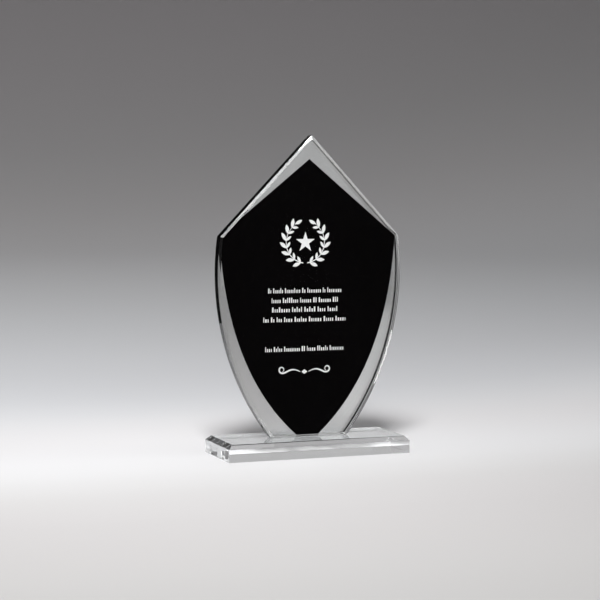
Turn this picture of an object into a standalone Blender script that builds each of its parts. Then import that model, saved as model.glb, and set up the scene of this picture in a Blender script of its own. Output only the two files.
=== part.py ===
"""Glass shield award.

A bevelled glass plate, printed on its back in black, satin silver and white,
stands upright on a clear acrylic base and is held by a film of clear adhesive.
All sizes are in metres. +Z is up, the award faces -Y, and the base rests on Z = 0.
"""

import math

import bmesh
import bpy
from mathutils import Vector

# Acrylic base: a rectangular slab with a 45 degree chamfer round its top.
BASE_WIDTH = 0.160
BASE_DEPTH = 0.060
BASE_HEIGHT = 0.0142
BASE_CHAMFER = 0.0036

# Adhesive film between the base and the plate, and the gap that parts keep to each other.
PART_GAP = 0.0001
BOND_THICKNESS = 0.0003
BOND_MARGIN = 0.0008

# Glass plate: two straight edges meet at the tip, and an arc runs down each side.
PLATE_THICKNESS = 0.0095
PLATE_BOTTOM = BASE_HEIGHT + BOND_THICKNESS + 2 * PART_GAP
PLATE_TIP = 0.2643
PLATE_SHOULDER = 0.1812
SIDE_HALF_WIDTH = 0.0813
SIDE_WIDEST_AT = 0.152
SIDE_RADIUS = 0.224
SIDE_STEPS = 32
FRONT_BEVEL_WIDTH = 0.0022
FRONT_BEVEL_DEPTH = 0.0012
BACK_ARRIS = 0.0004

# Prints on the back of the plate: white first, then black and silver in one layer behind it.
INK_THICKNESS = 0.0001
INK_MARGIN = 0.0002
INK_BOTTOM = PLATE_BOTTOM + BACK_ARRIS
PLATE_BACK = PLATE_THICKNESS / 2
WHITE_LAYER_Y = PLATE_BACK + PART_GAP
FIELD_LAYER_Y = WHITE_LAYER_Y + INK_THICKNESS + PART_GAP

# Black field: apex, shoulder and foot, with one curve control point down each side.
FIELD_APEX = 0.2446
FIELD_SHOULDER = (0.0783, 0.1810)
FIELD_CONTROL = (0.0717, 0.0695)
FIELD_FOOT = (0.0098, INK_BOTTOM)
FIELD_STEPS = 28

# White imprint: an emblem, four short lines, a name line and a divider, on one centre line.
IMPRINT_X = -0.003
EMBLEM_Z = 0.1757
STAR_RADIUS = 0.0088
STAR_WAIST = 0.382
STAR_POINTS = 5
WREATH_RADIUS = 0.0172
WREATH_START = math.radians(-84)
WREATH_END = math.radians(58)
STEM_WIDTH = 0.0009
STEM_TAPER = 0.6
LEAF_PAIRS = 7
FIRST_PAIR = 0.45
LEAF_STEPS = 5
LEAF_ROOT = 0.2
# Each leaf's length, width and lean away from the stem.
OUTER_LEAF = (0.0072, 0.0029, math.radians(38))
INNER_LEAF = (0.0054, 0.0021, math.radians(46))
END_LEAF = (0.0072, 0.0029, 0.0)
LINE_HEIGHT = 0.0042
LINE_END_STEPS = 6
# Each line's length and height above the ground.
LINES = {
    "inscription_line_1": (0.0653, 0.1358),
    "inscription_line_2": (0.0591, 0.1277),
    "inscription_line_3": (0.0583, 0.1200),
    "inscription_line_4": (0.0735, 0.1118),
    "name_line": (0.0700, 0.0872),
}
DIVIDER_Z = 0.0679
DIAMOND_WIDTH = 0.0052
DIAMOND_HEIGHT = 0.0040
SCROLL_GAP = 0.0011
SCROLL_LENGTH = 0.0300
SCROLL_WIDTH = 0.0014
SCROLL_THIN_END = 0.3
SCROLL_RISE = math.radians(26)
SCROLL_WAVE = 0.86
SCROLL_CURL = math.radians(340)
CURL_START = 0.40
CURL_TIGHTENING = 2.0
SCROLL_STEPS = 48


def clear_scene():
    for obj in list(bpy.data.objects):
        bpy.data.objects.remove(obj, do_unlink=True)


def make_material(name, color, roughness, metallic=0.0, transmission=0.0, ior=1.5):
    material = bpy.data.materials.new(name)
    material.use_nodes = True
    shader = material.node_tree.nodes["Principled BSDF"]
    shader.inputs["Base Color"].default_value = (*color, 1.0)
    shader.inputs["Roughness"].default_value = roughness
    shader.inputs["Metallic"].default_value = metallic
    shader.inputs["Transmission Weight"].default_value = transmission
    shader.inputs["IOR"].default_value = ior
    return material


def make_object(name, mesh_builder, material):
    """Turn a bmesh into a named object with outward faces and one material."""
    bmesh.ops.recalc_face_normals(mesh_builder, faces=mesh_builder.faces)
    mesh = bpy.data.meshes.new(name)
    mesh_builder.to_mesh(mesh)
    mesh_builder.free()
    mesh.materials.append(material)
    obj = bpy.data.objects.new(name, mesh)
    bpy.context.scene.collection.objects.link(obj)
    return obj


def loft(name, rings, material):
    """Close a stack of matching rings of 3D points into one solid."""
    builder = bmesh.new()
    loops = [[builder.verts.new(point) for point in ring] for ring in rings]
    builder.faces.new(loops[0])
    builder.faces.new(loops[-1])
    count = len(loops[0])
    for lower, upper in zip(loops, loops[1:]):
        for i in range(count):
            j = (i + 1) % count
            builder.faces.new((lower[i], lower[j], upper[j], upper[i]))
    builder.normal_update()
    caps = [face for face in builder.faces if len(face.verts) > 4]
    bmesh.ops.triangulate(builder, faces=caps, ngon_method="EAR_CLIP")
    return make_object(name, builder, material)


def layer(name, outline, y_front, material):
    """A flat layer of ink facing -Y, from an outline of (x, z) points."""
    front = [(x, y_front, z) for x, z in outline]
    back = [(x, y_front + INK_THICKNESS, z) for x, z in outline]
    return loft(name, [front, back], material)


def mirrored(points):
    """The same outline on the other side of X = 0, in the reverse order."""
    return [(-x, z) for x, z in reversed(points)]


def quadratic(start, control, end, steps):
    """A curve from start to end, drawn towards one control point."""
    first, middle, last = Vector(start), Vector(control), Vector(end)
    points = []
    for i in range(steps + 1):
        t = i / steps
        points.append(tuple((1 - t) ** 2 * first + 2 * t * (1 - t) * middle + t * t * last))
    return points


def side_x(z, inset=0.0):
    """Half the plate's width at a height, on the side arc moved in by inset."""
    radius = SIDE_RADIUS - inset
    return SIDE_HALF_WIDTH - SIDE_RADIUS + math.sqrt(radius ** 2 - (z - SIDE_WIDEST_AT) ** 2)


TOP_SLOPE = math.atan2(PLATE_TIP - PLATE_SHOULDER, side_x(PLATE_SHOULDER))


def top_z(x, inset=0.0):
    """Height of the plate's straight top edge at x, moved in by inset."""
    return PLATE_TIP - inset / math.cos(TOP_SLOPE) - abs(x) * math.tan(TOP_SLOPE)


def shoulder_z(inset=0.0):
    """Height where the straight top edge meets the side arc, both moved in by inset."""
    tip = Vector((0.0, top_z(0.0, inset)))
    along = Vector((math.cos(TOP_SLOPE), -math.sin(TOP_SLOPE)))
    from_center = tip - Vector((SIDE_HALF_WIDTH - SIDE_RADIUS, SIDE_WIDEST_AT))
    middle = -from_center.dot(along)
    half_chord = math.sqrt(middle ** 2 - from_center.length_squared + (SIDE_RADIUS - inset) ** 2)
    return (tip + along * (middle + half_chord)).y


def side_points(inset, z_bottom):
    """The right side of the plate, from its shoulder down to z_bottom."""
    center_x = SIDE_HALF_WIDTH - SIDE_RADIUS
    radius = SIDE_RADIUS - inset
    start = math.asin((shoulder_z(inset) - SIDE_WIDEST_AT) / radius)
    end = math.asin((z_bottom - SIDE_WIDEST_AT) / radius)
    points = []
    for i in range(SIDE_STEPS + 1):
        angle = start + (end - start) * i / SIDE_STEPS
        x = center_x + radius * math.cos(angle)
        points.append((x, SIDE_WIDEST_AT + radius * math.sin(angle)))
    return points


def plate_outline(inset):
    right = side_points(inset, PLATE_BOTTOM)
    return [(0.0, top_z(0.0, inset))] + right + mirrored(right)


def field_side(offset=0.0):
    """The black field's right side from shoulder to foot, moved outwards by offset."""
    points = quadratic(FIELD_SHOULDER, FIELD_CONTROL, FIELD_FOOT, FIELD_STEPS)
    return [(x + offset, z) for x, z in points]


def build_base(material):
    half_w = BASE_WIDTH / 2
    half_d = BASE_DEPTH / 2
    levels = (
        (0.0, 0.0),
        (BASE_HEIGHT - BASE_CHAMFER, 0.0),
        (BASE_HEIGHT, BASE_CHAMFER),
    )
    rings = []
    for z, inset in levels:
        x = half_w - inset
        y = half_d - inset
        rings.append([(-x, -y, z), (x, -y, z), (x, y, z), (-x, y, z)])
    return loft("acrylic_base", rings, material)


def build_bond(material):
    x = side_x(PLATE_BOTTOM) - BOND_MARGIN
    y = PLATE_THICKNESS / 2 - BOND_MARGIN
    z = BASE_HEIGHT + PART_GAP
    corners = ((-x, -y), (x, -y), (x, y), (-x, y))
    rings = [[(cx, cy, height) for cx, cy in corners] for height in (z, z + BOND_THICKNESS)]
    return loft("bond_layer", rings, material)


def build_plate(material):
    half = PLATE_THICKNESS / 2
    sections = (
        (-half, FRONT_BEVEL_WIDTH),
        (-half + FRONT_BEVEL_DEPTH, 0.0),
        (half - BACK_ARRIS, 0.0),
        (half, BACK_ARRIS),
    )
    rings = [[(x, y, z) for x, z in plate_outline(inset)] for y, inset in sections]
    return loft("glass_plate", rings, material)


def build_black_field(material):
    right = field_side()
    outline = [(0.0, FIELD_APEX)] + right + mirrored(right)
    return layer("black_field", outline, FIELD_LAYER_Y, material)


def build_silver_areas(material):
    inset = BACK_ARRIS + INK_MARGIN
    end_x, end_z = FIELD_SHOULDER
    upper = [(0.0, top_z(0.0, inset)), (end_x, top_z(end_x, inset))]
    lower = [(end_x, end_z + PART_GAP), (0.0, FIELD_APEX + PART_GAP)]
    layer("silver_top", upper + lower + mirrored(upper[1:] + lower[:1]), FIELD_LAYER_Y, material)
    strip = side_points(inset, INK_BOTTOM) + list(reversed(field_side(PART_GAP)))
    layer("silver_right", strip, FIELD_LAYER_Y, material)
    layer("silver_left", mirrored(strip), FIELD_LAYER_Y, material)


def star_outline():
    points = []
    for i in range(2 * STAR_POINTS):
        angle = math.pi / 2 + math.pi * i / STAR_POINTS
        radius = STAR_RADIUS * (STAR_WAIST if i % 2 else 1.0)
        points.append((IMPRINT_X + radius * math.cos(angle), EMBLEM_Z + radius * math.sin(angle)))
    return points


def stem_point(angle, side):
    """A point on the stem's outer (side 1) or inner (side -1) edge, tapering to the tip."""
    progress = (angle - WREATH_START) / (WREATH_END - WREATH_START)
    radius = WREATH_RADIUS + side * STEM_WIDTH * (1 - STEM_TAPER * progress) / 2
    return radius * math.cos(angle), radius * math.sin(angle)


def leaf_points(angle, side, leaf):
    """One pointed leaf, out along its lower edge and back along its upper edge."""
    length, width, lean = leaf
    spread = width * LEAF_ROOT / WREATH_RADIUS
    heading = angle + math.pi / 2 - side * lean
    root = Vector(stem_point(angle, side))
    tip = root + length * Vector((math.cos(heading), math.sin(heading)))
    middle = (root + tip) / 2
    across = side * width * Vector((math.sin(heading), -math.cos(heading)))
    out = quadratic(stem_point(angle - spread, side), middle + across, tip, LEAF_STEPS)
    back = quadratic(tip, middle - across, stem_point(angle + spread, side), LEAF_STEPS)
    return out + back[1:]


def branch_outline():
    """The right half of the wreath, as one outline about the emblem's centre."""
    pitch = (WREATH_END - WREATH_START) / LEAF_PAIRS
    angles = [WREATH_START + pitch * (i + FIRST_PAIR) for i in range(LEAF_PAIRS)]
    outer = [stem_point(WREATH_START, 1)]
    inner = [stem_point(WREATH_START, -1)]
    for angle in angles:
        outer += leaf_points(angle, 1, OUTER_LEAF)
        inner += leaf_points(angle, -1, INNER_LEAF)
    outer += leaf_points(WREATH_END, 1, END_LEAF)
    return outer + list(reversed(inner))


def build_emblem(material):
    layer("emblem_star", star_outline(), WHITE_LAYER_Y, material)
    right = branch_outline()
    for name, points in (("laurel_right", right), ("laurel_left", mirrored(right))):
        placed = [(IMPRINT_X + x, EMBLEM_Z + z) for x, z in points]
        layer(name, placed, WHITE_LAYER_Y, material)


def bar_outline(length, z):
    """A straight bar with round ends."""
    radius = LINE_HEIGHT / 2
    points = []
    for side in (1, -1):
        for i in range(LINE_END_STEPS + 1):
            angle = math.pi * (i / LINE_END_STEPS - 0.5)
            x = side * (length / 2 - radius + radius * math.cos(angle))
            points.append((IMPRINT_X + x, z + side * radius * math.sin(angle)))
    return points


def build_lines(material):
    for name, (length, z) in LINES.items():
        layer(name, bar_outline(length, z), WHITE_LAYER_Y, material)


def scroll_outline():
    """A tapered stroke that leaves the diamond, rises and falls, and curls in at its end."""
    step = SCROLL_LENGTH / SCROLL_STEPS
    x = DIAMOND_WIDTH / 2 + SCROLL_GAP
    z = 0.0
    upper = []
    lower = []
    for i in range(SCROLL_STEPS + 1):
        t = i / SCROLL_STEPS
        curl = max(0.0, (t - CURL_START) / (1 - CURL_START))
        wave = SCROLL_RISE * math.cos(2 * math.pi * t / SCROLL_WAVE)
        heading = wave + SCROLL_CURL * curl ** CURL_TIGHTENING
        swell = SCROLL_THIN_END + (1 - SCROLL_THIN_END) * math.sin(math.pi * t)
        half = SCROLL_WIDTH / 2 * swell
        upper.append((x - half * math.sin(heading), z + half * math.cos(heading)))
        lower.append((x + half * math.sin(heading), z - half * math.cos(heading)))
        x += step * math.cos(heading)
        z += step * math.sin(heading)
    return upper + list(reversed(lower))


def build_divider(material):
    half_w = DIAMOND_WIDTH / 2
    half_h = DIAMOND_HEIGHT / 2
    diamond = [(half_w, 0.0), (0.0, half_h), (-half_w, 0.0), (0.0, -half_h)]
    right = scroll_outline()
    pieces = (
        ("divider_diamond", diamond),
        ("divider_scroll_right", right),
        ("divider_scroll_left", mirrored(right)),
    )
    for name, points in pieces:
        placed = [(IMPRINT_X + x, DIVIDER_Z + z) for x, z in points]
        layer(name, placed, WHITE_LAYER_Y, material)


def build_award():
    clear_scene()
    glass = make_material("clear_glass", (0.97, 0.99, 0.98), 0.0, transmission=1.0, ior=1.52)
    acrylic = make_material("clear_acrylic", (0.98, 0.99, 1.0), 0.02, transmission=1.0, ior=1.49)
    adhesive = make_material("clear_adhesive", (0.97, 0.97, 0.96), 0.05, transmission=1.0, ior=1.5)
    black = make_material("black_ink", (0.006, 0.006, 0.007), 0.25)
    silver = make_material("satin_silver", (0.62, 0.63, 0.64), 0.32, metallic=1.0)
    white = make_material("white_ink", (0.82, 0.82, 0.81), 0.45)
    build_base(acrylic)
    build_bond(adhesive)
    build_plate(glass)
    build_black_field(black)
    build_silver_areas(silver)
    build_emblem(white)
    build_lines(white)
    build_divider(white)


build_award()
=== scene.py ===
"""Looks for the glass shield award.

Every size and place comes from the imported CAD. The clear parts get rounded edges, the
prints are moved into optical contact with the back of the glass, and the lines of text
become rows of plain dashes. A round cyclorama with softboxes stands in for the studio.
Reflector cards and black flags, which only clear and polished surfaces see, shape the
reflections. A glow on the paper stands in for the light that the base gathers.
"""

import math
import random

import bmesh
import bpy
from mathutils import Matrix, Vector


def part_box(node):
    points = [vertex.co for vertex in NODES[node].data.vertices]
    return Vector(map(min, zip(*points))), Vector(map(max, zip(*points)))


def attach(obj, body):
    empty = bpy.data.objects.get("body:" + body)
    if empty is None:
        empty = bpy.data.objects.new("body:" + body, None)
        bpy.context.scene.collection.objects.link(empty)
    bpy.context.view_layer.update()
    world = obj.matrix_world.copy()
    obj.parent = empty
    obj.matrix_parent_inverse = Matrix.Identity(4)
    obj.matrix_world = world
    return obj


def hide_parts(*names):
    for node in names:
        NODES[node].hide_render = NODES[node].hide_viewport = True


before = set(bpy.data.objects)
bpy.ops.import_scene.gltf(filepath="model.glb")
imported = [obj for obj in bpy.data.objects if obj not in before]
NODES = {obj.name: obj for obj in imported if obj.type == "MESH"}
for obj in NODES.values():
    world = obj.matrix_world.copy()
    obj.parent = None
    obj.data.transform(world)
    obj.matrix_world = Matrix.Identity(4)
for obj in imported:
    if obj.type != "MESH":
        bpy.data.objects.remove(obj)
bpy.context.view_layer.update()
BODY = "root"
MM = 0.001

# Camera: where it looks, from which side in degrees, how far off, its lean and its lens.
CAMERA_AIM = Vector((-0.0079, 0.0, 0.1279))
CAMERA_AZIMUTH = -21.72
CAMERA_ELEVATION = 4.41
CAMERA_DISTANCE = 1.4788
CAMERA_ROLL = 0.0079
CAMERA_LENS = 106.98
CAMERA_SENSOR = 36.0

# Clear parts: the radius of their worked edges, and the least angle that counts as an edge.
GLASS_EDGE = 0.12 * MM
ACRYLIC_EDGE = 0.15 * MM
ADHESIVE_EDGE = 0.05 * MM
EDGE_SEGMENTS = 3
EDGE_PROFILE = 0.5
EDGE_ANGLE = math.radians(12)
FLAT_ANGLE = math.radians(0.2)
WELD_DISTANCE = 0.001 * MM

# Prints: how deep in the back of the glass each ink starts.
FIELD_DEPTH = 0.02 * MM
WHITE_DEPTH = 0.05 * MM
SILVER_NODES = ("silver_top", "silver_left", "silver_right")
ORNAMENT_NODES = (
    "emblem_star",
    "laurel_left",
    "laurel_right",
    "divider_diamond",
    "divider_scroll_left",
    "divider_scroll_right",
)
TEXT_NODES = (
    "inscription_line_1",
    "inscription_line_2",
    "inscription_line_3",
    "inscription_line_4",
    "name_line",
)

# Lines of text are left blank: rows of plain dashes, in groups as long as words.
DASH_WIDTHS = (0.7 * MM, 1.4 * MM)
DASH_GAP = 0.85 * MM
WORD_GAP = 2.1 * MM
WORD_LENGTHS = (2, 9)
TALL_DASHES = 0.16
LOW_DASH = 0.64
DASH_CORNER = 0.35 * MM
CORNER_STEPS = 4

# Cyclorama: a flat floor that turns up into a gentle slope and then a wide cove.
FLOOR_DROP = 0.2 * MM
FLAT_RADIUS = 0.25
SLOPE = 0.13
SLOPE_FROM = 0.55
SLOPE_TO = 1.2
COVE_RADIUS = 1.3
COVE_END = math.radians(60)
BEND_STEPS = 8
COVE_STEPS = 20
TURN_STEPS = 96

# The paper's pale tone with painted shade: a painted pool of light near the award, darker
# towards the front and up the wall. Each distance is metres behind the award plus metres up.
PAPER_PAINTED_FALLOFF = (
    (-0.50, (0.590, 0.580, 0.575)),
    (-0.24, (0.615, 0.600, 0.600)),
    (-0.13, (0.670, 0.660, 0.660)),
    (-0.06, (0.745, 0.740, 0.745)),
    (0.01, (0.800, 0.795, 0.805)),
    (0.15, (0.805, 0.795, 0.805)),
    (0.25, (0.770, 0.770, 0.785)),
    (0.34, (0.715, 0.720, 0.740)),
    (0.50, (0.670, 0.675, 0.695)),
    (0.85, (0.680, 0.685, 0.700)),
    (1.25, (0.700, 0.695, 0.705)),
    (1.55, (0.655, 0.640, 0.645)),
    (1.90, (0.585, 0.570, 0.575)),
    (2.40, (0.575, 0.550, 0.560)),
)
PAPER_ROUGHNESS = 0.9
TOOTH_SIZE = 0.002
TOOTH_DEPTH = 0.03 * MM
TOOTH_STRENGTH = 0.3

# Light gathered by the base: how far past it this reaches, how strong it is, and its patches.
GLOW_REACH = 0.045
GLOW_STRENGTH = 0.8
GLOW_PATCH_SIZE = 0.022
GLOW_PATCH_STRETCH = (1.0, 0.5, 1.0)
GLOW_PATCH_RANGE = (0.35, 0.65)
GLOW_LEAST = 0.35

# The clear parts let shadow rays through with this much of their light.
CLEAR_TINT = (0.94, 0.95, 0.95)

# Noise in this range shows as smears and wear.
WORN_RANGE = (0.5, 0.8)

# Glass. Its edges reflect fully and its flat faces only at a grazing view, which keeps the
# black print deep. A face is flat where it faces straight to the front or back, by this cosine.
GLASS_IOR = 1.52
GLASS_COLORS = ((0.975, 0.982, 0.978), (0.985, 0.99, 0.988))
GLASS_CAST_SIZE = 0.05
GLASS_SMEAR_SIZE = 0.02
GLASS_SMEAR_STRETCH = (0.4, 1.0, 1.0)
GLASS_SMEAR_ROUGHNESS = 0.006
EDGE_REFLECTION = (1.0, 1.0, 1.0)
FLAT_REFLECTION = (0.0, 0.0, 0.0)
FLAT_FACE = 0.99

# Acrylic: wear in its polish, and the lines that the saw and mill left.
ACRYLIC_IOR = 1.49
ACRYLIC_COLORS = ((0.975, 0.985, 0.99), (0.99, 0.995, 1.0))
ACRYLIC_WEAR_SIZE = 0.012
ACRYLIC_WEAR_ROUGHNESS = 0.03
ACRYLIC_LINE_SIZE = 0.0012
ACRYLIC_LINE_STRETCH = (1.0, 1.0, 0.05)
ACRYLIC_LINE_DEPTH = 0.001 * MM
ACRYLIC_LINE_STRENGTH = 0.2

# Adhesive: how rough it is in the middle of a bubble and away from it.
ADHESIVE_IOR = 1.5
ADHESIVE_COLORS = ((0.93, 0.93, 0.91), (0.97, 0.97, 0.96))
ADHESIVE_CLOUD_SIZE = 0.004
BUBBLE_SIZE = 0.0015
BUBBLE_ROUGHNESS = (0.3, 0.03)
BUBBLE_EDGE = 0.35

# Black ink: its face in the glass has no gloss of its own, and its bare back has this much.
# A face counts as the back where it faces that way by at least this cosine.
BLACK_COLORS = ((0.0014, 0.0012, 0.0013), (0.0024, 0.0021, 0.0022))
BLACK_ROUGHNESS = (0.3, 0.42)
BLACK_MOTTLE_SIZE = 0.006
BLACK_BACK_GLOSS = 0.45
BACK_FACE = 0.5
PEEL_SIZE = 0.0011
PEEL_DEPTH = 0.002 * MM
PEEL_STRENGTH = 0.3

# Silver ink: flakes of metal.
SILVER_COLORS = ((0.60, 0.605, 0.61), (0.68, 0.685, 0.69))
SILVER_ROUGHNESS = (0.11, 0.14)
SILVER_CLOUD_SIZE = 0.012
FLAKE_SIZE = 0.00035
FLAKE_DEPTH = 0.004 * MM
FLAKE_STRENGTH = 0.4

# White ink: an uneven coat.
WHITE_COLORS = ((0.72, 0.72, 0.715), (0.78, 0.78, 0.775))
WHITE_ROUGHNESS = (0.45, 0.6)
WHITE_GLOSS = 0.1
COAT_SIZE = 0.0015
COAT_DEPTH = 0.01 * MM
COAT_STRENGTH = 0.4

# Black felt.
FELT_COLORS = ((0.006, 0.006, 0.006), (0.012, 0.012, 0.012))
FELT_NAP_SIZE = 0.003

# Lights: name, azimuth and elevation in degrees, distance, (width, height) and power in watts.
# The last figures, where given, are the point that a light faces and its spread in degrees.
KEY_AIM = (-0.15, 0.35, 0.0)
SOFTBOXES = (
    ("key_softbox", -26, 52, 1.75, (0.4, 0.4), 7.6, KEY_AIM, 90),
    ("high_softbox", -24.5, 43, 1.7, (0.44, 0.34), 5.2),
    ("top_softbox", 0, 89, 1.3, (0.9, 0.9), 3.0),
    ("right_softbox", 73, 31, 1.7, (0.5, 0.9), 2.7),
)
# The table card lies level in front of the award and faces a point high above itself.
TABLE_CARD_AIM = (0.27, -1.02, 10.0)
CARDS = (
    ("back_card", 180, 8, 1.35, (2.6, 0.24), 0.5),
    ("front_card", 24, 9, 1.35, (1.4, 0.34), 0.74),
    ("low_card", 37, 14, 0.22, (0.11, 0.11), 0.0095),
    ("side_card", 83, 13, 0.185, (0.05, 0.075), 0.11),
    ("table_card", 15, 4.9, 1.054, (1.1, 0.55), 0.95, TABLE_CARD_AIM),
)
# Flags: name, azimuth and elevation in degrees, distance and (width, height).
FLAGS = (
    ("left_flag", -150, 19, 0.47, (0.34, 0.30)),
    ("high_flag", 180, 27, 1.2, (0.8, 0.5)),
)
WORLD_COLOR = (0.04, 0.04, 0.042)

# How many times light may turn in the clear parts.
MAX_BOUNCES = 32
GLOSSY_BOUNCES = 16
TRANSMISSION_BOUNCES = 24

# A Mix node's color sockets, which share their names with its other sockets.
MIX_FIRST = 6
MIX_SECOND = 7
MIX_RESULT = 2


def add_node(tree, kind, inputs=None, **settings):
    """A new shader node. An input's value may be a plain value or another node's output."""
    node = tree.nodes.new(kind)
    for name, value in settings.items():
        setattr(node, name, value)
    set_inputs(tree, node, inputs or {})
    return node


def set_inputs(tree, node, values):
    for name, value in values.items():
        if isinstance(value, bpy.types.NodeSocket):
            tree.links.new(value, node.inputs[name])
        else:
            node.inputs[name].default_value = value


def new_surface(name):
    """A material with a Principled shader. Returns the material, its tree and the shader."""
    material = bpy.data.materials.new(name)
    material.use_nodes = True
    tree = material.node_tree
    return material, tree, tree.nodes["Principled BSDF"]


def place(tree, stretch=(1.0, 1.0, 1.0)):
    """Object coordinates in metres, stretched along each axis."""
    coordinates = add_node(tree, "ShaderNodeTexCoord")
    inputs = {"Vector": coordinates.outputs["Object"], "Scale": stretch}
    return add_node(tree, "ShaderNodeMapping", inputs).outputs["Vector"]


def noise(tree, vector, size, detail=3.0):
    """Cloudy noise with features of about this size in metres."""
    inputs = {"Vector": vector, "Scale": 1 / size, "Detail": detail}
    return add_node(tree, "ShaderNodeTexNoise", inputs).outputs["Fac"]


def cells(tree, size):
    """A Voronoi texture with cells of about this size in metres."""
    return add_node(tree, "ShaderNodeTexVoronoi", {"Vector": place(tree), "Scale": 1 / size})


def calculate(tree, operation, *values):
    """The result of a Math node on one or two values."""
    node = add_node(tree, "ShaderNodeMath", dict(enumerate(values)), operation=operation)
    return node.outputs["Value"]


def spread(tree, factor, low, high, start=0.3, end=0.7):
    """The factor's range from start to end, spread from low to high."""
    inputs = {"Value": factor, "From Min": start, "From Max": end, "To Min": low, "To Max": high}
    return add_node(tree, "ShaderNodeMapRange", inputs).outputs["Result"]


def blend_colors(tree, factor, first, second):
    node = add_node(tree, "ShaderNodeMix", data_type="RGBA")
    tree.links.new(factor, node.inputs["Factor"])
    node.inputs[MIX_FIRST].default_value = (*first, 1.0)
    node.inputs[MIX_SECOND].default_value = (*second, 1.0)
    return node.outputs[MIX_RESULT]


def add_bump(tree, shader, height, depth, strength):
    """Relief of this depth in metres."""
    inputs = {"Height": height, "Distance": depth, "Strength": strength}
    bump = add_node(tree, "ShaderNodeBump", inputs)
    tree.links.new(bump.outputs["Normal"], shader.inputs["Normal"])


def depth_facing(tree):
    """How squarely the surface faces the award's back: 1 at the back, -1 at the front."""
    coordinates = add_node(tree, "ShaderNodeTexCoord")
    parts = add_node(tree, "ShaderNodeSeparateXYZ", {"Vector": coordinates.outputs["Normal"]})
    return parts.outputs["Y"]


def let_light_through(tree, shader, tint):
    """Shadow rays and diffuse light pass straight through a clear part, with this tint."""
    output = tree.nodes["Material Output"]
    path = add_node(tree, "ShaderNodeLightPath")
    rays = (path.outputs["Is Shadow Ray"], path.outputs["Is Diffuse Ray"])
    either = calculate(tree, "MAXIMUM", *rays)
    clear = add_node(tree, "ShaderNodeBsdfTransparent", {"Color": (*tint, 1.0)})
    mixed = add_node(tree, "ShaderNodeMixShader", {0: either})
    tree.links.new(shader.outputs["BSDF"], mixed.inputs[1])
    tree.links.new(clear.outputs["BSDF"], mixed.inputs[2])
    tree.links.new(mixed.outputs["Shader"], output.inputs["Surface"])


def glass_surface():
    """Clear float glass with a faint green cast and wiped smears."""
    material, tree, shader = new_surface("clear_float_glass")
    where = place(tree)
    smears = noise(tree, place(tree, GLASS_SMEAR_STRETCH), GLASS_SMEAR_SIZE, detail=4.0)
    cast = noise(tree, where, GLASS_CAST_SIZE)
    squareness = calculate(tree, "ABSOLUTE", depth_facing(tree))
    flat = calculate(tree, "GREATER_THAN", squareness, FLAT_FACE)
    set_inputs(
        tree,
        shader,
        {
            "Base Color": blend_colors(tree, cast, *GLASS_COLORS),
            "Roughness": spread(tree, smears, 0.0, GLASS_SMEAR_ROUGHNESS, *WORN_RANGE),
            "IOR": GLASS_IOR,
            "Transmission Weight": 1.0,
            "Specular Tint": blend_colors(tree, flat, EDGE_REFLECTION, FLAT_REFLECTION),
        },
    )
    let_light_through(tree, shader, CLEAR_TINT)
    return material


def acrylic_surface():
    """Polished cast acrylic with a little wear and faint upright machining lines."""
    material, tree, shader = new_surface("clear_cast_acrylic")
    lines = noise(tree, place(tree, ACRYLIC_LINE_STRETCH), ACRYLIC_LINE_SIZE, detail=2.0)
    wear = noise(tree, place(tree), ACRYLIC_WEAR_SIZE, detail=5.0)
    set_inputs(
        tree,
        shader,
        {
            "Base Color": blend_colors(tree, wear, *ACRYLIC_COLORS),
            "Roughness": spread(tree, wear, 0.0, ACRYLIC_WEAR_ROUGHNESS, *WORN_RANGE),
            "IOR": ACRYLIC_IOR,
            "Transmission Weight": 1.0,
        },
    )
    add_bump(tree, shader, lines, ACRYLIC_LINE_DEPTH, ACRYLIC_LINE_STRENGTH)
    let_light_through(tree, shader, CLEAR_TINT)
    return material


def adhesive_surface():
    """Cured clear adhesive with a few fine bubbles."""
    material, tree, shader = new_surface("clear_cured_adhesive")
    bubbles = cells(tree, BUBBLE_SIZE)
    haze = spread(tree, bubbles.outputs["Distance"], *BUBBLE_ROUGHNESS, 0.0, BUBBLE_EDGE)
    cloud = noise(tree, place(tree), ADHESIVE_CLOUD_SIZE)
    set_inputs(
        tree,
        shader,
        {
            "Base Color": blend_colors(tree, cloud, *ADHESIVE_COLORS),
            "Roughness": haze,
            "IOR": ADHESIVE_IOR,
            "Transmission Weight": 1.0,
        },
    )
    let_light_through(tree, shader, CLEAR_TINT)
    return material


def black_surface():
    """Black screen ink: dense, with a faint mottle and a slight orange peel."""
    material, tree, shader = new_surface("black_screen_ink")
    mottle = noise(tree, place(tree), BLACK_MOTTLE_SIZE, detail=4.0)
    peel = noise(tree, place(tree), PEEL_SIZE, detail=2.0)
    back = calculate(tree, "GREATER_THAN", depth_facing(tree), BACK_FACE)
    set_inputs(
        tree,
        shader,
        {
            "Base Color": blend_colors(tree, mottle, *BLACK_COLORS),
            "Roughness": spread(tree, mottle, *BLACK_ROUGHNESS),
            "Specular IOR Level": spread(tree, back, 0.0, BLACK_BACK_GLOSS, 0.0, 1.0),
        },
    )
    add_bump(tree, shader, peel, PEEL_DEPTH, PEEL_STRENGTH)
    return material


def silver_surface():
    """Satin silver ink: metal flakes of slightly different shades in a fine grain."""
    material, tree, shader = new_surface("satin_silver_ink")
    flakes = {"Color": cells(tree, FLAKE_SIZE).outputs["Color"]}
    flake_shade = add_node(tree, "ShaderNodeSeparateColor", flakes).outputs["Red"]
    cloud = noise(tree, place(tree), SILVER_CLOUD_SIZE, detail=4.0)
    set_inputs(
        tree,
        shader,
        {
            "Base Color": blend_colors(tree, flake_shade, *SILVER_COLORS),
            "Metallic": 1.0,
            "Roughness": spread(tree, cloud, *SILVER_ROUGHNESS),
        },
    )
    add_bump(tree, shader, flake_shade, FLAKE_DEPTH, FLAKE_STRENGTH)
    return material


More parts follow.
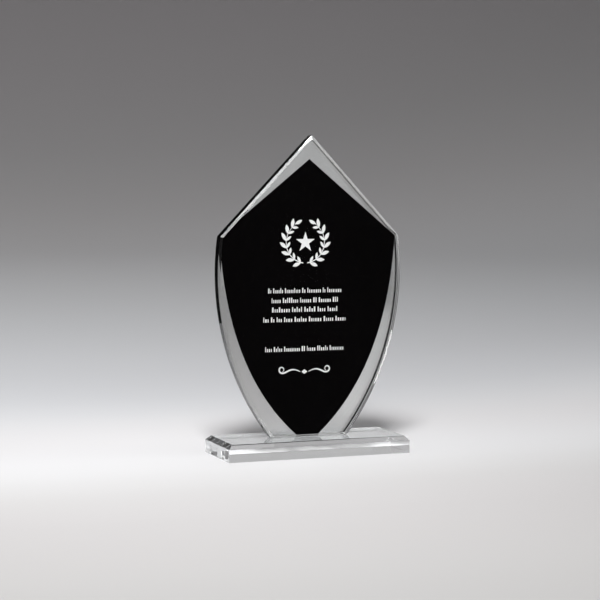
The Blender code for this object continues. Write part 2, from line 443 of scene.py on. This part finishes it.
def white_surface():
    """White screen ink, with the faint unevenness of a printed coat."""
    material, tree, shader = new_surface("white_screen_ink")
    coat = noise(tree, place(tree), COAT_SIZE, detail=4.0)
    set_inputs(
        tree,
        shader,
        {
            "Base Color": blend_colors(tree, coat, *WHITE_COLORS),
            "Roughness": spread(tree, coat, *WHITE_ROUGHNESS),
            "Specular IOR Level": WHITE_GLOSS,
        },
    )
    add_bump(tree, shader, coat, COAT_DEPTH, COAT_STRENGTH)
    return material


def base_glow(tree, parts):
    """Light that the base gathers on the paper close behind it, as clear parts show it.

    Straight shadow rays leave that light out, so it is added where clear parts look at it.
    """
    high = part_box("acrylic_base")[1]
    across = calculate(tree, "ABSOLUTE", parts.outputs["X"])
    sides = spread(tree, across, 1.0, 0.0, high.x, high.x + GLOW_REACH)
    depth = spread(tree, parts.outputs["Y"], 1.0, 0.0, high.y, high.y + GLOW_REACH)
    behind = calculate(tree, "GREATER_THAN", parts.outputs["Y"], high.y)
    clouds = noise(tree, place(tree, GLOW_PATCH_STRETCH), GLOW_PATCH_SIZE, detail=1.0)
    patches = spread(tree, clouds, GLOW_LEAST, 1.0, *GLOW_PATCH_RANGE)
    glow = add_node(tree, "ShaderNodeLightPath").outputs["Is Transmission Ray"]
    for factor in (sides, depth, behind, patches, GLOW_STRENGTH):
        glow = calculate(tree, "MULTIPLY", glow, factor)
    return glow


def paper_painted_falloff(tree, parts):
    """The paper's color along a ramp from front to back and up the wall, with painted shade and
    a painted pool of light.
    """
    front, back = PAPER_PAINTED_FALLOFF[0][0], PAPER_PAINTED_FALLOFF[-1][0]
    along = calculate(tree, "ADD", parts.outputs["Y"], parts.outputs["Z"])
    share = spread(tree, along, 0.0, 1.0, front, back)
    ramp = add_node(tree, "ShaderNodeValToRGB", {"Fac": share})
    ramp.color_ramp.interpolation = "CARDINAL"
    stops = ramp.color_ramp.elements
    stops[0].color = (*PAPER_PAINTED_FALLOFF[0][1], 1.0)
    stops[-1].color = (*PAPER_PAINTED_FALLOFF[-1][1], 1.0)
    for distance, shade in PAPER_PAINTED_FALLOFF[1:-1]:
        stops.new((distance - front) / (back - front)).color = (*shade, 1.0)
    return ramp.outputs["Color"]


def paper_surface():
    """Pale seamless paper with a fine tooth, with painted shade towards the front and up the
    wall and a painted pool of light near the award.
    """
    material, tree, shader = new_surface("seamless_paper")
    where = place(tree)
    parts = add_node(tree, "ShaderNodeSeparateXYZ", {"Vector": where})
    tooth = noise(tree, where, TOOTH_SIZE)
    set_inputs(
        tree,
        shader,
        {
            # The base color holds painted shade and a painted pool of light on the pale paper.
            "Base Color": paper_painted_falloff(tree, parts),
            "Roughness": PAPER_ROUGHNESS,
            "Specular IOR Level": 0.0,
            "Emission Color": (1.0, 1.0, 1.0, 1.0),
            "Emission Strength": base_glow(tree, parts),
        },
    )
    add_bump(tree, shader, tooth, TOOTH_DEPTH, TOOTH_STRENGTH)
    return material


def felt_surface():
    """Black felt with a short nap."""
    material, tree, shader = new_surface("black_felt")
    nap = noise(tree, place(tree), FELT_NAP_SIZE)
    set_inputs(
        tree,
        shader,
        {
            "Base Color": blend_colors(tree, nap, *FELT_COLORS),
            "Roughness": 1.0,
            "Specular IOR Level": 0.0,
        },
    )
    return material


def mesh_object(name, builder, material):
    mesh = bpy.data.meshes.new(name)
    builder.to_mesh(mesh)
    builder.free()
    mesh.materials.append(material)
    obj = bpy.data.objects.new(name, mesh)
    bpy.context.scene.collection.objects.link(obj)
    return obj


def settle(piece, node):
    """The piece takes the place of a CAD node, which is hidden, and moves with the award."""
    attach(piece, BODY)
    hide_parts(node)


def cad_builder(node):
    """A CAD node's mesh with its split corners welded and its flat faces whole again."""
    builder = bmesh.new()
    builder.from_mesh(NODES[node].data)
    bmesh.ops.remove_doubles(builder, verts=builder.verts, dist=WELD_DISTANCE)
    bmesh.ops.dissolve_limit(
        builder,
        angle_limit=FLAT_ANGLE,
        verts=builder.verts,
        edges=builder.edges,
        use_dissolve_boundaries=False,
    )
    return builder


def rounded_part(name, node, edge_width, material):
    """A clear CAD solid with a narrow round on each worked edge."""
    builder = cad_builder(node)
    worked = [edge for edge in builder.edges if edge.calc_face_angle(0.0) > EDGE_ANGLE]
    bmesh.ops.bevel(
        builder,
        geom=worked,
        offset=edge_width,
        offset_type="OFFSET",
        segments=EDGE_SEGMENTS,
        profile=EDGE_PROFILE,
        affect="EDGES",
        clamp_overlap=True,
    )
    for face in builder.faces:
        face.smooth = True
    bmesh.ops.recalc_face_normals(builder, faces=builder.faces)
    piece = mesh_object(name, builder, material)
    piece.modifiers.new("even_shading", "WEIGHTED_NORMAL")
    settle(piece, node)


def bonded_print(name, node, depth, material):
    """A CAD ink layer, moved so that its front lies this deep in the back of the glass."""
    back_of_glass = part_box("glass_plate")[1].y
    builder = cad_builder(node)
    move = back_of_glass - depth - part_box(node)[0].y
    bmesh.ops.translate(builder, verts=builder.verts, vec=(0.0, move, 0.0))
    bmesh.ops.recalc_face_normals(builder, faces=builder.faces)
    settle(mesh_object(name, builder, material), node)


def dash_spans(node, start, end):
    """(left, right, tall) of each dash in a row, spaced like the letters and words of a line."""
    chance = random.Random(node)
    spans = []
    reach = 0.0
    while reach < end - start:
        for i in range(chance.randint(*WORD_LENGTHS)):
            width = chance.uniform(*DASH_WIDTHS)
            tall = i == 0 or chance.random() < TALL_DASHES
            spans.append((reach, reach + width, tall))
            reach += width + DASH_GAP
        reach += WORD_GAP - DASH_GAP
    fit = (end - start) / spans[-1][1]
    return [(start + left * fit, start + right * fit, tall) for left, right, tall in spans]


def rounded_outline(left, right, bottom, top):
    """(x, z) points of a rectangle with round corners."""
    corner = min(DASH_CORNER, (right - left) / 2)
    centers = (
        (right - corner, top - corner),
        (left + corner, top - corner),
        (left + corner, bottom + corner),
        (right - corner, bottom + corner),
    )
    points = []
    for quarter, (x, z) in enumerate(centers):
        for i in range(CORNER_STEPS + 1):
            angle = math.pi / 2 * (quarter + i / CORNER_STEPS)
            points.append((x + corner * math.cos(angle), z + corner * math.sin(angle)))
    return points


def dash_row(name, node, depth, material):
    """A line of the inscription as separate dashes of ink, as long as its CAD bar."""
    low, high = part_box(node)
    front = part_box("glass_plate")[1].y - depth
    back = front + high.y - low.y
    builder = bmesh.new()
    for left, right, tall in dash_spans(node, low.x, high.x):
        top = high.z if tall else low.z + (high.z - low.z) * LOW_DASH
        outline = rounded_outline(left, right, low.z, top)
        near = [builder.verts.new((x, front, z)) for x, z in outline]
        far = [builder.verts.new((x, back, z)) for x, z in outline]
        builder.faces.new(near)
        builder.faces.new(far)
        for i in range(len(outline)):
            j = (i + 1) % len(outline)
            builder.faces.new((near[i], near[j], far[j], far[i]))
    bmesh.ops.recalc_face_normals(builder, faces=builder.faces)
    settle(mesh_object(name, builder, material), node)


def build_award():
    glass = glass_surface()
    acrylic = acrylic_surface()
    adhesive = adhesive_surface()
    black = black_surface()
    silver = silver_surface()
    white = white_surface()
    rounded_part("plate_of_glass", "glass_plate", GLASS_EDGE, glass)
    rounded_part("base_of_acrylic", "acrylic_base", ACRYLIC_EDGE, acrylic)
    rounded_part("joint_of_adhesive", "bond_layer", ADHESIVE_EDGE, adhesive)
    bonded_print("print_black_field", "black_field", FIELD_DEPTH, black)
    for node in SILVER_NODES:
        bonded_print(f"print_{node}", node, FIELD_DEPTH, silver)
    for node in ORNAMENT_NODES:
        bonded_print(f"print_{node}", node, WHITE_DEPTH, white)
    for node in TEXT_NODES:
        dash_row(f"print_{node}", node, WHITE_DEPTH, white)


def cyclorama_profile():
    """(reach, height) points from the middle of the floor to the top of the cove."""
    profile = [(0.0, 0.0), (FLAT_RADIUS / 2, 0.0), (FLAT_RADIUS, 0.0)]
    for i in range(1, BEND_STEPS + 1):
        run = (SLOPE_FROM - FLAT_RADIUS) * i / BEND_STEPS
        profile.append((FLAT_RADIUS + run, SLOPE * run * run / (SLOPE_FROM - FLAT_RADIUS) / 2))
    reach, height = profile[-1]
    height += SLOPE * (SLOPE_TO - reach)
    start = math.atan(SLOPE)
    for i in range(COVE_STEPS + 1):
        angle = start + (COVE_END - start) * i / COVE_STEPS
        across = COVE_RADIUS * (math.sin(angle) - math.sin(start))
        up = COVE_RADIUS * (math.cos(start) - math.cos(angle))
        profile.append((SLOPE_TO + across, height + up))
    return profile


def build_cyclorama():
    """Floor and cove in one surface of revolution about the award."""
    builder = bmesh.new()
    center = builder.verts.new((0.0, 0.0, -FLOOR_DROP))
    rings = []
    for reach, height in cyclorama_profile()[1:]:
        ring = []
        for i in range(TURN_STEPS):
            angle = 2 * math.pi * i / TURN_STEPS
            point = (reach * math.cos(angle), reach * math.sin(angle), height - FLOOR_DROP)
            ring.append(builder.verts.new(point))
        rings.append(ring)
    for i in range(TURN_STEPS):
        j = (i + 1) % TURN_STEPS
        builder.faces.new((center, rings[0][i], rings[0][j]))
        for inner, outer in zip(rings, rings[1:]):
            builder.faces.new((inner[i], outer[i], outer[j], inner[j]))
    for face in builder.faces:
        face.smooth = True
    sweep = mesh_object("cyclorama", builder, paper_surface())


def direction(azimuth, elevation):
    """The unit vector towards this azimuth and elevation, in degrees. Azimuth 0 is the front."""
    turn, lift = math.radians(azimuth), math.radians(elevation)
    level = math.cos(lift)
    return Vector((math.sin(turn) * level, -math.cos(turn) * level, math.sin(lift)))


def softbox(name, azimuth, elevation, distance, size, power, aim=(0.0, 0.0, 0.0), beam=180):
    """An area light in this direction from the award, which faces the aim."""
    light = bpy.data.lights.new(name, "AREA")
    light.shape = "RECTANGLE"
    light.size, light.size_y = size
    light.energy = power
    light.spread = math.radians(beam)
    obj = bpy.data.objects.new(name, light)
    obj.location = direction(azimuth, elevation) * distance
    obj.rotation_euler = (obj.location - Vector(aim)).to_track_quat("Z", "Y").to_euler()
    obj.visible_camera = False
    bpy.context.scene.collection.objects.link(obj)
    return obj


def card(*place_and_power):
    """A reflector card: clear and polished surfaces see it, and it lights nothing else."""
    softbox(*place_and_power).visible_diffuse = False


def flag(name, azimuth, elevation, distance, size):
    """A black felt flag, seen only in reflections. It keeps the paper out of dark edges."""
    away = direction(azimuth, elevation)
    across = Vector((0.0, 0.0, 1.0)).cross(away).normalized() * size[0] / 2
    up = away.cross(across).normalized() * size[1] / 2
    middle = away * distance
    corners = (
        middle - across - up,
        middle + across - up,
        middle + across + up,
        middle - across + up,
    )
    builder = bmesh.new()
    builder.faces.new([builder.verts.new(corner) for corner in corners])
    obj = mesh_object(name, builder, felt_surface())
    obj.visible_camera = False
    obj.visible_diffuse = False
    obj.visible_shadow = False
    obj.visible_transmission = False


def build_lights():
    for figures in SOFTBOXES:
        softbox(*figures)
    for figures in CARDS:
        card(*figures)
    for figures in FLAGS:
        flag(*figures)
    world = bpy.data.worlds.new("studio")
    world.use_nodes = True
    background = world.node_tree.nodes["Background"]
    background.inputs["Color"].default_value = (*WORLD_COLOR, 1.0)
    background.inputs["Strength"].default_value = 1.0
    bpy.context.scene.world = world


def build_camera():
    data = bpy.data.cameras.new("camera")
    data.lens = CAMERA_LENS
    data.sensor_width = CAMERA_SENSOR
    back = direction(CAMERA_AZIMUTH, CAMERA_ELEVATION)
    camera = bpy.data.objects.new("camera", data)
    spot = Matrix.Translation(CAMERA_AIM + back * CAMERA_DISTANCE)
    turned = back.to_track_quat("Z", "Y").to_matrix().to_4x4()
    lean = Matrix.Rotation(CAMERA_ROLL, 4, "Z")
    camera.matrix_world = spot @ turned @ lean
    bpy.context.scene.collection.objects.link(camera)
    bpy.context.scene.camera = camera


def set_light_paths():
    """Plain tones, and enough bounces for light to find its way through the clear parts."""
    scene = bpy.context.scene
    scene.view_settings.view_transform = "Standard"
    scene.cycles.max_bounces = MAX_BOUNCES
    scene.cycles.glossy_bounces = GLOSSY_BOUNCES
    scene.cycles.transmission_bounces = TRANSMISSION_BOUNCES


set_light_paths()
build_award()
build_cyclorama()
build_lights()
build_camera()
